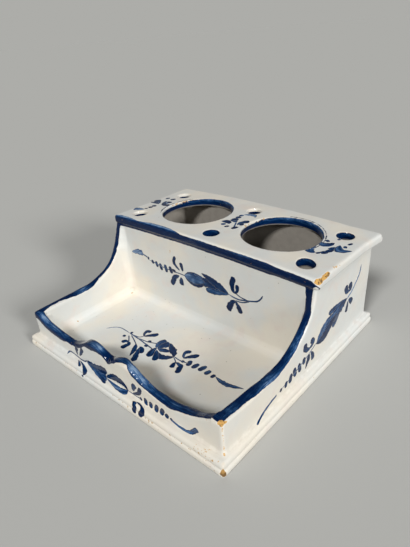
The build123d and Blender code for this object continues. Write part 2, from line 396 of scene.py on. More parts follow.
def paint_sides(band, x, y, z):
    """The side walls' rims: dark along the right one's inner arris, thinner towards its outer one."""
    from_outer = OUTER_X - np.abs(x)
    on_side = (np.abs(x) > INNER_X - 2) & (y - FRONT_FACE >= from_outer)
    on_side &= (y < RISER_FACE + 1.5) & (z < PLATE_UNDER + 1)
    deep = np.clip(under_side_rim(y, z), 0, None)
    at = from_outer + np.where(from_outer > HALF_WALL, deep, -deep)
    streaky = 0.2 * np.sin(y / 5.5) + 0.15
    # Near the front the outer arris, which faces the light, is left bare: partly a painted highlight
    outer_edge = read_off(RIGHT_BAND_OUTER, y) + 1.6 * ramp(z, 56, 62)
    darker = 0.11 * (at - 3) + 0.25 * ramp(z, 40, 52)
    band.lay(on_side & (x > 0), outer_edge, read_off(RIGHT_BAND_INNER, y), at, y + z, streaky + 0.1 + darker)
    pale_run = 0.5 * ramp(np.abs(y + 43), 14, 0) * (at > 2)
    load = streaky + 0.35 - pale_run
    # In places the inner arris, which faces the light, is left bare: partly a painted highlight
    band.lay(on_side & (x < 0), LEFT_BAND_OUTER, read_off(LEFT_BAND_INNER, y), at, y + z, load)


def paint_front(band, x, y, z):
    """The front wall's rim: the band spills over the outer arris, most at the left corner."""
    from_front = y - FRONT_FACE
    on_front = (from_front < OUTER_X - np.abs(x)) | (np.abs(x) < INNER_X - 2)
    on_front &= (from_front > -2) & (y < TRAY_FRONT + 2) & (np.abs(x) < OUTER_X + 1) & (z > LEDGE + 6)
    deep = np.clip(front_rim(np.clip(x, -INNER_X, INNER_X)) - z, 0, None)
    at = from_front + np.where(from_front > HALF_WALL, deep, -deep)
    # Pale where the rim catches the light at the lobes' right flanks: partly a painted highlight
    load = read_off(FRONT_BAND_PAINT_AND_HIGHLIGHTS, x) + 0.14 * np.abs(at - HALF_WALL) - 0.05
    band.lay(on_front, -read_off(FRONT_BAND_SPILL, x), FRONT_BAND_INNER, at, x, load)


def paint_plate(band, x, y, z):
    """The top plate's front face: dark, with thin washes where the brush ran over the arris."""
    on_plate = (z > PLATE_UNDER - 3) & (y < PLATE_FRONT + 12)
    at = (y - PLATE_FRONT) - (PLATE_TOP - z)
    lower = np.maximum(read_off(PLATE_BAND_LOWER, x), at - (z - PLATE_UNDER + 2.1))
    washes = read_off(PLATE_BAND_WASHES, x)
    pale_runs = read_off(PLATE_PALE_RUNS, x) * ramp(at, -3, -1.5)
    pale_line = 0.5 * np.exp(-(((at - 1.6) / 0.8) ** 2)) * (washes > 1)
    load = np.clip(0.4 - 0.19 * (at + 1), -0.45, 0.55) - pale_runs - pale_line
    band.lay(on_plate, lower, washes, at, x, load, steady=1.5)


def paint_hole(band, x, y, z, hole, radius):
    """A hole: dark down its wall with a bare rounded arris, and round a well a thin broken line."""
    hole_x, hole_y = hole
    away = np.hypot(x - hole_x, y - hole_y)
    near = (away < radius + 4) & (z > PLATE_UNDER - 1)
    turn = np.arctan2(y - hole_y, x - hole_x) * radius
    at = away - radius - np.clip(PLATE_TOP - 2 - z, 0, None)
    if radius == WELL_RADIUS:
        over = read_off(WELL_RING_REACH, turn)
        # Paler up the wall towards the arris: a painted highlight for the glints there
        band.lay(near, HOLE_BAND_INNER, over, at, turn, 0.5 - 0.6 * ramp(at, -1.5, 0.5), steady=2.4)
        open_side = (turn > -15) & (turn < 60) if hole_x > 0 else np.abs(turn) > 75
        band.lay(near & open_side, over + 1.1, over + 2.1, at, turn, 0.45, steady=1.5)
    else:
        # The two left quill holes and the back middle one are painted only deep down: a dark crescent, partly
        # painted shade
        painted_high = hole_x > 0 or (hole_x == 0 and hole_y < WELLS[0][1])
        over = 0.5 if painted_high else -0.7
        # Paler up the wall towards the arris: a painted highlight
        band.lay(near, HOLE_BAND_INNER, over, at, turn, 0.6 - 0.3 * ramp(at, -2, 0), steady=2.4)


def painted_band(points):
    """The painted band at points in millimetres."""
    x, y, z = points.T
    band = Band(len(points))
    paint_sides(band, x, y, z)
    paint_front(band, x, y, z)
    paint_plate(band, x, y, z)
    for holes, radius in ((WELLS, WELL_RADIUS), (QUILLS, QUILL_RADIUS)):
        for hole in holes:
            paint_hole(band, x, y, z, hole, radius)
    return band


def inside_box(points):
    """How far each point belongs to the box's inner faces, which were never glazed."""
    x, y, z = points.T
    from_sides = INNER_X - np.abs(x)
    from_floor_up = z > LEDGE - 1
    room = np.minimum.reduce([from_sides, y - RISER_HIGH.y, BACK_LOW.y - y, PLATE_UNDER + 0.2 - z])
    return ramp(room, -1.2, -0.4) * from_floor_up


ARRIS_ROUNDS = 6
SMEAR_ROUNDS = 24

# Only the foot lies further than this before or behind the middle of the depth (millimetres)
FOOT_REACH = 92.0

# The glaze mirrors less than bare glass (0.5), as an old, rubbed glaze does
GLAZE_SPECULAR = 0.22

# Chips: a point on the broken face, the way it faces and how far the chip reaches (millimetres)
CHIPS = [
    ((101.2, 14.0, 78.9), (0.74, 0.0, 0.67), 9.5),
    ((100.2, 8.2, 78.4), (0.62, -0.5, 0.6), 7.0),
    ((101.8, 30.0, 79.9), (0.8, 0.0, 0.9), 5.0),
    ((101.0, 98.6, 79.2), (0.4, 0.7, 0.6), 6.0),
    ((98.4, -87.3, 29.2), (0.6, -0.5, 0.7), 6.0),
    ((103.6, -94.9, 2.2), (0.7, -0.7, 0.1), 5.5),
]

# Worn and stained places: two ends, how far they reach (millimetres) and how strong they are
MARKS = [
    ((100, -89, 27), (100, -89, 8), 1.5, 1.4),
    ((84, -95.5, 9), (96, -95.5, 7), 6.0, 0.6),
    ((-98, -96, 5), (98, -96, 5), 1.8, 0.5),
    ((105, -90, 5), (105, 90, 5), 1.6, 0.3),
    ((-92, 5, 6), (-90, 3, 6), 2.4, 1.1),
    ((-90, -60, 7), (-91, -57, 7), 1.8, 1.6),
    ((-35, 8, 60), (-34, 8, 62), 1.6, 1.1),
    ((100, 30, 80), (101.5, 36, 80), 2.2, 0.8),
    ((103.6, 32, 10.6), (104.2, 34, 10), 2.2, 2.0),
    ((-75, 54, 80), (-70, 72, 80), 3.0, 0.7),
    ((12.5, 50, 80), (17, 70, 80), 3.0, 0.85),
]


def chipped(points):
    """Points in millimetres with the chips broken off, and how bare the clay is at each."""
    bare = np.zeros(len(points))
    points = points.copy()
    for centre, outward, reach in CHIPS:
        offset = points - np.array(centre)
        normal = np.array(outward) / np.linalg.norm(outward)
        away = np.linalg.norm(offset, axis=1)
        index = np.flatnonzero(away < reach)
        rough = field(points[index], 2.4, 3.0) * 0.7
        above = offset[index] @ normal + rough
        cut = np.clip(above, 0, None) * ramp(away[index], reach, 0.75 * reach)
        points[index] -= cut[:, None] * normal
        bare[index] = np.maximum(bare[index], ramp(cut, 0, 0.3))
    return points, bare


def worn(points):
    """How worn or stained the glaze is at points in millimetres."""
    most = np.zeros(len(points))
    for start, end, reach, strength in MARKS:
        start, end = np.array(start), np.array(end)
        run = end - start
        share_along = ramp((points - start) @ run, 0, run @ run)
        away = np.linalg.norm(points - start - share_along[:, None] * run, axis=1)
        most = np.maximum(most, strength * np.clip(1.3 * (1 - away / reach), 0, 1))
    return most


def vectors(data, name):
    """The vectors that a mesh keeps for its points, faces or attribute values."""
    values = np.zeros(len(data) * 3)
    data.foreach_get(name, values)
    return values.reshape(-1, 3)


def store(mesh, name, values):
    """Keeps a number or a vector for each point of a mesh."""
    kind, held_as = ("FLOAT_VECTOR", "vector") if values.ndim == 2 else ("FLOAT", "value")
    layer = mesh.attributes.new(name, kind, "POINT")
    layer.data.foreach_set(held_as, values.astype(np.float32).ravel())


def fused_clay(clay):
    """The frame's clay pieces in one closed skin, with the creases filled and the arrises rounded."""
    pile = bmesh.new()
    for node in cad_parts.values():
        piece = bmesh.new()
        piece.from_mesh(node.data)
        bmesh.ops.remove_doubles(piece, verts=piece.verts, dist=0.001 * MM)
        solid = bpy.data.meshes.new("solid")
        piece.to_mesh(solid)
        piece.free()
        pile.from_mesh(solid)
        bpy.data.meshes.remove(solid)
    heap = bpy.data.meshes.new("heap")
    pile.to_mesh(heap)
    pile.free()
    raw = bpy.data.objects.new("raw_clay", heap)
    bpy.context.scene.collection.objects.link(raw)
    fuse = raw.modifiers.new("fuse", "REMESH")
    fuse.mode = "VOXEL"
    fuse.voxel_size = clay.grain * 1
    soften = raw.modifiers.new("soften", "SMOOTH")
    soften.factor = 0.5
    soften.iterations = clay.soft_rounds
    bpy.context.view_layer.update()
    skin = bpy.data.meshes.new_from_object(raw.evaluated_get(bpy.context.evaluated_depsgraph_get()))
    bpy.data.objects.remove(raw)
    bpy.data.meshes.remove(heap)
    return skin


def smeared(points, edges):
    """Points in millimetres with the back corner coils' upper ends smeared out over the seams."""
    x, y, z = points.T
    near_seam = ramp(np.hypot(np.abs(x) - INNER_X + 1, y - RISER_FACE + 1), 6, 3.6)
    smear = near_seam * ramp(np.abs(z - COIL_TOP), 14.4, 6.4)
    return points + smear[:, None] * (relaxed(points, edges, SMEAR_ROUNDS) - points)


def uneven(points, shaped, normals, clay):
    """Shaped points with the rolled slabs' rise and fall, and the groove over the base slab pressed in."""
    rise = field(shaped, clay.ripple_width / MM, 1.0) + 0.3 * field(shaped, clay.ripple_width / MM / 3, 2.0)
    x, y, z = points.T
    standing = ramp(z, 1, 3)
    foot = (np.abs(x) > OUTER_X + 1.5) | (np.abs(y - (FRONT_FACE + BACK_FACE) / 2) > FOOT_REACH)
    groove = ramp(np.abs(z - LEDGE - 0.2), 1.1, 0) * foot
    return shaped + normals * (rise * clay.ripple / MM * standing - groove * clay.groove / MM)[:, None]


def glazed_skin(clay):
    """The whole skin as a bmesh in the frame's straight shape, with its bowed place kept at each point."""
    skin = fused_clay(clay)
    edges = np.zeros(len(skin.edges) * 2, dtype=np.int64)
    skin.edges.foreach_get("vertices", edges)
    edges = edges.reshape(-1, 2)
    straight = smeared(vectors(skin.vertices, "co") / MM, edges)
    normals = vectors(skin.vertex_normals, "vector")
    arris = ((straight - relaxed(straight, edges, ARRIS_ROUNDS)) * normals).sum(1)
    band = painted_band(straight)
    shaped, bare = chipped(straight)
    placed = bowed(uneven(straight, shaped, normals, clay), clay) * MM
    skin.vertices.foreach_set("co", placed.ravel())
    skin.update()
    kept = {
        "placed": placed,
        "facing": vectors(skin.vertex_normals, "vector"),
        "band": band.inside,
        "sweep": np.stack([band.along, band.across, band.taken], 1),
        "arris": arris,
        "bare": bare,
        "worn": worn(straight),
        "inner": inside_box(straight),
    }
    for name, values in kept.items():
        store(skin, name, values)
    skin.vertices.foreach_set("co", (straight * MM).ravel())
    whole = bmesh.new()
    whole.from_mesh(skin)
    bpy.data.meshes.remove(skin)
    return whole


def cut_out(skin, low, high):
    """A closed part of a skin between two corners in millimetres; None leaves that side open."""
    part = skin.copy()
    for axis in (2, 0, 1):
        for corner, way in ((low, -1), (high, 1)):
            if corner[axis] is None:
                continue
            point, normal = Vector(), Vector()
            point[axis] = corner[axis] * MM
            normal[axis] = way
            everything = part.verts[:] + part.edges[:] + part.faces[:]
            cut = bmesh.ops.bisect_plane(
                part, geom=everything, plane_co=point, plane_no=normal, dist=0.0001 * MM, clear_outer=True
            )
            rim = [e for e in cut["geom_cut"] if isinstance(e, bmesh.types.BMEdge) and e.is_boundary]
            if not rim:
                continue
            cap = bmesh.ops.triangle_fill(part, use_beauty=True, use_dissolve=False, edges=rim, normal=normal)
            for face in cap["geom"]:
                if isinstance(face, bmesh.types.BMFace):
                    face.smooth = False
            for edge in rim:
                edge.smooth = False
    return part


def glazed_piece(part, node, material):
    """Turns a cut part of the skin into a finished piece in its bowed shape, for a node and its coils."""
    placed = part.verts.layers.float_vector["placed"]
    for vertex in part.verts:
        vertex.co = vertex[placed]
    mesh = bpy.data.meshes.new("glazed_" + node)
    part.to_mesh(mesh)
    part.free()

    # Round the cuts the glaze keeps the whole skin's shading, and the cut faces are flat
    corners = np.zeros(len(mesh.loops), dtype=np.int64)
    mesh.loops.foreach_get("vertex_index", corners)
    normals = vectors(mesh.attributes["facing"].data, "vector")[corners]
    totals = np.zeros(len(mesh.polygons), dtype=np.int64)
    smooth = np.zeros(len(mesh.polygons), dtype=bool)
    mesh.polygons.foreach_get("loop_total", totals)
    mesh.polygons.foreach_get("use_smooth", smooth)
    owner = np.repeat(np.arange(len(totals)), totals)
    flat = ~smooth[owner]
    normals[flat] = vectors(mesh.polygons, "normal")[owner[flat]]
    mesh.normals_split_custom_set(normals)
    for spent in ("placed", "facing"):
        mesh.attributes.remove(mesh.attributes[spent])
    return finished(mesh, material, [node, *COILS.get(node, [])])


def finished(mesh, material, nodes=()):
    """Puts a mesh in the scene as a piece of its name that rides on the inkwell and stands for nodes."""
    piece = bpy.data.objects.new(mesh.name, mesh)
    bpy.context.scene.collection.objects.link(piece)
    mesh.materials.append(material)
    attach(piece, "root")
    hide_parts(*nodes)
    return piece


# The coils that each wall's glaze has flowed over, so that they can't be told apart from it
COILS = {
    "side_wall_left": ["floor_coil_left", "corner_coil_front_left", "corner_coil_back_left"],
    "side_wall_right": ["floor_coil_right", "corner_coil_front_right", "corner_coil_back_right"],
    "front_wall": ["floor_coil_front"],
    "riser_wall": ["floor_coil_back"],
}


class INKWELL_OT_glazed_body(bpy.types.Operator):
    """Fuses the slabs, strips and coils under one glaze and divides them into their pieces again"""

    bl_idname = "inkwell.glazed_body"
    bl_label = "Glazed body"

    def execute(self, context):
        clay = context.scene.inkwell_clay
        skin = glazed_skin(clay)
        material = white_tin_glaze(context.scene)
        gap = clay.cut_gap / MM
        low, high = LEDGE + gap, PLATE_UNDER - gap
        side, wall = COIL_INNER_X - gap, OUTER_X + gap
        front, back = FRONT_FACE - gap, BACK_FACE + gap
        tray, box = (TRAY_FRONT + RISER_FACE) / 2, (RISER_HIGH.y + BACK_LOW.y) / 2
        open_side = (None, None, None)
        glazed_piece(cut_out(skin, open_side, (None, None, low)), "base_slab", material)
        glazed_piece(cut_out(skin, (None, None, high), open_side), "top_plate", material)
        walls = cut_out(skin, (None, None, low), (None, None, high))
        skin.free()
        parts = {
            "foot_moulding_front": (open_side, (None, front, None)),
            "foot_moulding_back": ((None, back, None), open_side),
            "foot_moulding_left": ((None, front, None), (-wall, back, None)),
            "foot_moulding_right": ((wall, front, None), (None, back, None)),
            "side_wall_left": ((-wall, front, None), (-side, back, None)),
            "side_wall_right": ((side, front, None), (wall, back, None)),
            "front_wall": ((-side, front, None), (side, tray, None)),
            "riser_wall": ((-side, tray, None), (side, box, None)),
            "back_wall": ((-side, box, None), (side, back, None)),
        }
        for node, (near, far) in parts.items():
            glazed_piece(cut_out(walls, near, far), node, material)
        walls.free()
        return {"FINISHED"}


# A map range that eases in and out
SOFT = {"interpolation_type": "SMOOTHSTEP"}


def add_node(tree, kind, inputs=(), out=0, **settings):
    """Adds a shader node with its settings, gives its inputs values or links, and returns one output."""
    made = tree.nodes.new("ShaderNode" + kind)
    for name, value in settings.items():
        setattr(made, name, value)
    for key, value in (inputs if isinstance(inputs, dict) else dict(enumerate(inputs))).items():
        if isinstance(value, bpy.types.NodeSocket):
            tree.links.new(value, made.inputs[key])
        else:
            made.inputs[key].default_value = value
    return None if out is None else made.outputs[out]


def new_material(name):
    """An empty material and its node tree."""
    material = bpy.data.materials.new(name)
    material.use_nodes = True
    material.node_tree.nodes.clear()
    return material, material.node_tree


def milky_white(tree, colours, place):
    """Colour of the bare white glaze at a place: milky clouds and a faint blush of the clay."""
    clouds = add_node(tree, "TexNoise", {"Vector": place, "Scale": 1 / (38 * MM), "Detail": 4.0})
    clouds = add_node(tree, "MapRange", (clouds, 0.36, 0.66), **SOFT)
    whites = {0: clouds, 6: tuple(colours.cool_white), 7: tuple(colours.warm_white)}
    white = add_node(tree, "Mix", whites, 2, data_type="RGBA")
    tint = add_node(tree, "TexNoise", {"Vector": place, "Scale": 1 / (11 * MM), "Detail": 3.0})
    tint = add_node(tree, "MapRange", (tint, 0.5, 0.76, 0.0, 0.5), **SOFT)
    return add_node(tree, "Mix", {0: tint, 6: white, 7: tuple(colours.blush)}, 2, data_type="RGBA")


def glaze_waves(tree, place):
    """The glaze's slight waves and orange peel, as a normal."""
    peel = add_node(tree, "TexNoise", {"Vector": place, "Scale": 1 / (1.8 * MM), "Detail": 2.0})
    waves = add_node(tree, "TexNoise", {"Vector": place, "Scale": 1 / (6 * MM), "Detail": 2.0})
    height = add_node(tree, "Math", (peel, 0.22, waves), operation="MULTIPLY_ADD")
    return add_node(tree, "Bump", {"Strength": 0.5, "Distance": 0.16 * MM, "Height": height})


def cobalt(tree, colours, depth, edge, strength):
    """Cobalt by how deep inside its edge it lies, how wide the dark edge is, and how much the brush left."""
    pooled = add_node(tree, "MapRange", (depth, 0.1, edge, 0.4, 0.0), **SOFT)
    laid = add_node(tree, "Math", (pooled, strength), operation="ADD")
    blues = add_node(tree, "ValToRGB", (laid,))
    stops = ((0.0, colours.pale_blue), (0.35, colours.mid_blue), (0.65, colours.blue), (1.0, colours.navy))
    elements = blues.node.color_ramp.elements
    while len(elements) < len(stops):
        elements.new(0.5)
    for element, (at, shade) in zip(elements, stops):
        element.position = at
        element.color = tuple(shade)
    return blues


def pinholed(tree, colours, place, height, base):
    """A base colour with pinholes: one in some of the 6 mm cells, most on the foot."""
    cell = add_node(tree, "TexVoronoi", {"Vector": place, "Scale": 1 / (6 * MM)})
    chance = add_node(tree, "SeparateColor", (cell.node.outputs["Color"],))
    rarity = add_node(tree, "MapRange", (height, 7 * MM, 14 * MM, 0.5, 0.86), **SOFT)
    rare = add_node(tree, "Math", (chance, rarity), operation="GREATER_THAN")
    dot = add_node(tree, "MapRange", (cell, 0.03, 0.085, 0.7, 0.0), **SOFT)
    pinholes = add_node(tree, "Math", (rare, dot), operation="MULTIPLY")
    return add_node(tree, "Mix", {0: pinholes, 6: base, 7: tuple(colours.speck)}, 2, data_type="RGBA")


def thin_and_dirty(tree, colours, arris, patchy, base):
    """A base colour with thin glaze on the arrises and dirt in the creases, both in patches."""
    thin = add_node(tree, "MapRange", (arris, 0.12, 0.25), **SOFT)
    patches = add_node(tree, "MapRange", (patchy, 0.5, 0.66, 0.0, 0.2), **SOFT)
    thin = add_node(tree, "Math", (thin, patches), operation="MULTIPLY")
    base = add_node(tree, "Mix", {0: thin, 6: base, 7: tuple(colours.clay)}, 2, data_type="RGBA")
    crease = add_node(tree, "MapRange", (arris, -0.06, -0.13), **SOFT)
    patches = add_node(tree, "MapRange", (patchy, 0.4, 0.6, 0.0, 0.1), **SOFT)
    crease = add_node(tree, "Math", (crease, patches), operation="MULTIPLY")
    return add_node(tree, "Mix", {0: crease, 6: base, 7: tuple(colours.clay_dark)}, 2, data_type="RGBA")


def banded(tree, scene, place, base):
    """A base colour under the painted band, with frayed edges and streaks along the brush's way."""
    band = add_node(tree, "Attribute", out="Fac", attribute_name="band")
    sweep = add_node(tree, "Attribute", out="Vector", attribute_name="sweep")
    # The sweep's third value darkens or pales the cobalt, and in places its pale values are painted
    # highlights
    taken = add_node(tree, "SeparateXYZ", (sweep,), 2)
    drawn = add_node(tree, "Mapping", {"Vector": sweep, "Scale": (0.14, 1.1, 0.0)})
    streaks = add_node(tree, "TexNoise", {"Vector": drawn, "Scale": 1.0, "Detail": 6.0, "Roughness": 0.7})
    fine = {"Vector": place, "Scale": 1 / (3.2 * MM), "Detail": 4.0, "Roughness": 0.6}
    fray = add_node(tree, "Math", (add_node(tree, "TexNoise", fine), 0.5), operation="SUBTRACT")
    wander = scene.inkwell_brush.fray / MM * 1.4
    depth = add_node(tree, "Math", (fray, wander, band), operation="MULTIPLY_ADD")
    strength = add_node(tree, "MapRange", (streaks, 0.34, 0.66, 0.95, 0.15))
    strength = add_node(tree, "Math", (strength, taken), operation="ADD")
    painted = cobalt(tree, scene.inkwell_colours, depth, 1.2, strength)
    covered = add_node(tree, "MapRange", (depth, -0.12, 0.22), **SOFT)
    return add_node(tree, "Mix", {0: covered, 6: base, 7: painted}, 2, data_type="RGBA")


def worn_through(tree, gritty, arris, earth, base):
    """A base colour with worn spots: the glaze gone in dots where the piece was rubbed or knocked."""
    worn_here = add_node(tree, "Attribute", out="Fac", attribute_name="worn")
    likely = add_node(tree, "Math", (worn_here, 0.24, gritty), operation="MULTIPLY_ADD")
    on_arris = add_node(tree, "MapRange", (arris, 0.08, 0.3))
    likely = add_node(tree, "Math", (on_arris, 0.05, likely), operation="MULTIPLY_ADD")
    spots = add_node(tree, "MapRange", (likely, 0.73, 0.79, 0.0, 0.85), **SOFT)
    return add_node(tree, "Mix", {0: spots, 6: base, 7: earth}, 2, data_type="RGBA")


def bare_earth(tree, colours, gritty, patchy, height):
    """Colour of bare earthenware: clean buff clay, and dark where it has taken dirt, most at the foot."""
    earth = add_node(tree, "Math", (gritty, 0.7, patchy), operation="MULTIPLY_ADD")
    earth = add_node(tree, "MapRange", (earth, 0.66, 0.86), **SOFT)
    clean = add_node(tree, "MapRange", (height, 1 * MM, 12 * MM, 0.3, 1.0))
    earth = add_node(tree, "Math", (earth, clean), operation="MULTIPLY")
    clays = {0: earth, 6: tuple(colours.clay_dark), 7: tuple(colours.clay)}
    return add_node(tree, "Mix", clays, 2, data_type="RGBA")


def white_tin_glaze(scene):
    """Tin-glazed earthenware (faience), dipped and fired.

    The tin makes the glass milky, so the eye sees an opaque soft white with a wet gloss. It draws thin on
    each arris, where the buff clay shows through, and it leaves pinholes and iron specks.
    """
    material, tree = new_material("white_tin_glaze")
    colours = scene.inkwell_colours
    place = add_node(tree, "TexCoord", out="Object")
    height = add_node(tree, "SeparateXYZ", (place,), 2)
    arris = add_node(tree, "Attribute", out="Fac", attribute_name="arris")
    patchy = add_node(tree, "TexNoise", {"Vector": place, "Scale": 1 / (6 * MM), "Detail": 4.0})
    gritty = add_node(tree, "TexNoise", {"Vector": place, "Scale": 1 / (1.5 * MM), "Detail": 3.0})
    earth = bare_earth(tree, colours, gritty, patchy, height)
    base = milky_white(tree, colours, place)
    base = pinholed(tree, colours, place, height, base)
    base = thin_and_dirty(tree, colours, arris, patchy, base)
    base = banded(tree, scene, place, base)
    base = worn_through(tree, gritty, arris, earth, base)

    # Bare clay: inside the box, grey from ink, and on the chips' broken faces
    inner = add_node(tree, "Attribute", out="Fac", attribute_name="inner")
    smudge = add_node(tree, "MapRange", (patchy, 0.35, 0.7, 1.0, 0.86), **SOFT)
    smudges = {0: smudge, 6: tuple(colours.smudge), 7: tuple(colours.inked)}
    smudge = add_node(tree, "Mix", smudges, 2, data_type="RGBA")
    base = add_node(tree, "Mix", {0: inner, 6: base, 7: smudge}, 2, data_type="RGBA")
    bare = add_node(tree, "Attribute", out="Fac", attribute_name="bare")
    broken = add_node(tree, "Math", (gritty, 0.5, bare), operation="MULTIPLY_ADD")
    broken = add_node(tree, "MapRange", (broken, 0.55, 0.8), **SOFT)
    base = add_node(tree, "Mix", {0: broken, 6: base, 7: earth}, 2, data_type="RGBA")

    # Gloss: uneven on the glaze, and none on bare clay
    gloss = add_node(tree, "TexNoise", {"Vector": place, "Scale": 1 / (30 * MM), "Detail": 3.0})
    gloss = add_node(tree, "MapRange", (gloss, 0.3, 0.7, 0.07, 0.18))
    dull = add_node(tree, "Math", (bare, inner), operation="MAXIMUM")
    dull = add_node(tree, "Math", (dull, 0.75), operation="MULTIPLY")
    glaze = {
        "Base Color": base,
        "Roughness": add_node(tree, "Math", (gloss, dull), operation="MAXIMUM"),
        "Normal": glaze_waves(tree, place),
        "Specular IOR Level": GLAZE_SPECULAR,
    }
    add_node(tree, "OutputMaterial", {"Surface": add_node(tree, "BsdfPrincipled", glaze)}, None)
    return material


def cobalt_painting(scene):
    """Cobalt oxide brushed on the raw tin glaze and fired into it.

    The eye sees blue under the same wet gloss: streaked along each stroke, and dark where the paint pooled
    at the stroke's edge and end.
    """
    material, tree = new_material("cobalt_painting")
    place = add_node(tree, "TexCoord", out="Object")
    stroke = add_node(tree, "Attribute", out="Vector", attribute_name="stroke")
    along = add_node(tree, "SeparateXYZ", (stroke,))
    across, tone = along.node.outputs[1:]
    half = add_node(tree, "Attribute", out="Fac", attribute_name="half_width")
    off_middle = add_node(tree, "Math", (across,), operation="ABSOLUTE")
    inward = add_node(tree, "Math", (1.0, off_middle), operation="SUBTRACT")
    depth = add_node(tree, "Math", (inward, half), operation="MULTIPLY")
    drawn = add_node(tree, "CombineXYZ", (along, across))
    drawn = add_node(tree, "Mapping", {"Vector": drawn, "Scale": (0.12, 1.6, 1.0)})
    streaks = add_node(tree, "TexNoise", {"Vector": drawn, "Scale": 1.0, "Detail": 4.0})
    strength = add_node(tree, "MapRange", (streaks, 0.3, 0.7, 0.35, -0.35))
    strength = add_node(tree, "Math", (strength, tone), operation="ADD")
    paint = cobalt(tree, scene.inkwell_colours, depth, 0.8, strength)
    thin = add_node(tree, "MapRange", (depth, 0.0, 0.14, 0.5, 1.0), **SOFT)
    white = milky_white(tree, scene.inkwell_colours, place)
    glaze = {
        "Base Color": add_node(tree, "Mix", {0: thin, 6: white, 7: paint}, 2, data_type="RGBA"),
        "Roughness": 0.12,
        "Normal": glaze_waves(tree, place),
        "Specular IOR Level": GLAZE_SPECULAR,
    }
    add_node(tree, "OutputMaterial", {"Surface": add_node(tree, "BsdfPrincipled", glaze)}, None)
    return material


# Strokes: how much higher each next one lies, so that none shares a face with one it crosses, the length of
# a wobble in the edge, the thinnest half of a stroke and how far off it is thrown from (millimetres)
STACK_STEP = 0.012
WOBBLE_LENGTH = 2.6
LEAST_HALF_WIDTH = 0.03
THROW = 30.0

# The spot of the view, which the front, side and plate strokes are thrown from (millimetres)
VIEW_SPOT = Vector((220.0, -216.6, 221.2))


def blunt_end(u, start):
    """Rounds a stroke off to a blunt end, from a share of its run on."""
    return math.sqrt(max(0.0, 1 - ((u - start) / (1 - start)) ** 2)) if u > start else 1.0


def leaf(u):
    """Half width of a leaf: drawn to a point at both ends."""
    return math.sin(math.pi * u) ** 0.75


def drop(u):
    """Half width of a drop: from a narrow start to a full, blunt end."""
    return (0.3 + 0.7 * min(1.0, u / 0.6) ** 0.8) * blunt_end(u, 0.84) * min(1.0, 0.2 + 10 * u)


def dab(u):
    """Half width of a dab: blunt at both ends."""
    return math.sqrt(max(0.0, 1 - abs(2 * u - 1) ** 4))


def line(u):
    """Half width of a drawn line: even, with tapered ends."""
    return min(1.0, 6 * u + 0.3, 6 * (1 - u) + 0.3)


def tail(u):
    """Half width of a tail: it swells along its whole run to a blunt end."""
    return (0.5 + 0.5 * u) * blunt_end(u, 0.94)


def curve_through(points, share_along):
    """A place and direction on the smooth curve through a stroke's points."""
    count = len(points) - 1
    spot = min(share_along * count, count - 1e-6)
    i = int(spot)
    t = spot - i
    b, c = Vector(points[i]), Vector(points[i + 1])
    a = Vector(points[i - 1]) if i > 0 else b * 2 - c
    d = Vector(points[i + 2]) if i + 2 <= count else c * 2 - b
    straight, bend, twist = c - a, a * 2 - b * 5 + c * 4 - d, b * 3 - a - c * 3 + d
    place = (b * 2 + straight * t + bend * t**2 + twist * t**3) / 2
    way = (straight + bend * 2 * t + twist * 3 * t**2) / 2
    return place, way.normalized()


def first_hit(skins, spot, way):
    """The first point of the skins along a line through a spot, or else the nearest, and how it faces."""
    hits = [skin.ray_cast(spot - way * THROW * MM, way) for skin in skins]
    hits = [hit for hit in hits if hit[0] is not None] or [skin.find_nearest(spot) for skin in skins]
    place, normal, _, _ = min(hits, key=lambda hit: hit[3])
    return place, normal


def add_stroke(painting, panel, skins, order, brush, form, points, width, tone):
    """Adds one brush stroke to a painting: a thin closed strip that lies on the skin."""
    run = sum((Vector(a) - Vector(b)).length for a, b in zip(points, points[1:]))
    steps = max(6, int(run / (brush.mesh_step / MM)))
    lanes = 8 if width > 2 else 4
    grid = bmesh.ops.create_grid(painting, x_segments=steps, y_segments=lanes, size=1)
    stroke_layer = painting.verts.layers.float_vector["stroke"]
    facing_layer = painting.verts.layers.float_vector["facing"]
    width_layer = painting.verts.layers.float["half_width"]
    relief = brush.relief / MM + STACK_STEP * (order % 5)
    for vertex in grid["verts"]:
        u, v = (vertex.co.x + 1) / 2, vertex.co.y
        place, way = curve_through(points, u)
        rough_edge = noise.noise(Vector((u * run / WOBBLE_LENGTH, order * 7.0, 3.0 if v > 0 else 9.0)))
        uneven_width = width * (1 + brush.wobble * 2 * rough_edge)
        half = max(uneven_width * panel["breadth"] * brush.load / 2 * form(u), LEAST_HALF_WIDTH)
        flat = place + Vector((-way.y, way.x)) * v * half
        spot = panel["origin"] + panel["across"] * flat.x + panel["up"] * flat.y
        way = panel["throw"] if panel["seen_from"] is None else (spot - panel["seen_from"]).normalized()
        hit, normal = first_hit(skins, spot * MM, way)
        vertex.co = hit + normal * relief * MM
        vertex[stroke_layer] = (u * run + order * 50, v, tone + 0.3 * (u - 0.5))
        vertex[width_layer] = half
        vertex[facing_layer] = normal
    faces = list(dict.fromkeys(face for vertex in grid["verts"] for face in vertex.link_faces))
    bottom = bmesh.ops.extrude_face_region(painting, geom=faces, use_keep_orig=True)
    for vertex in bottom["geom"]:
        if isinstance(vertex, bmesh.types.BMVert):
            vertex.co -= vertex[facing_layer] * (relief * MM + brush.sink)


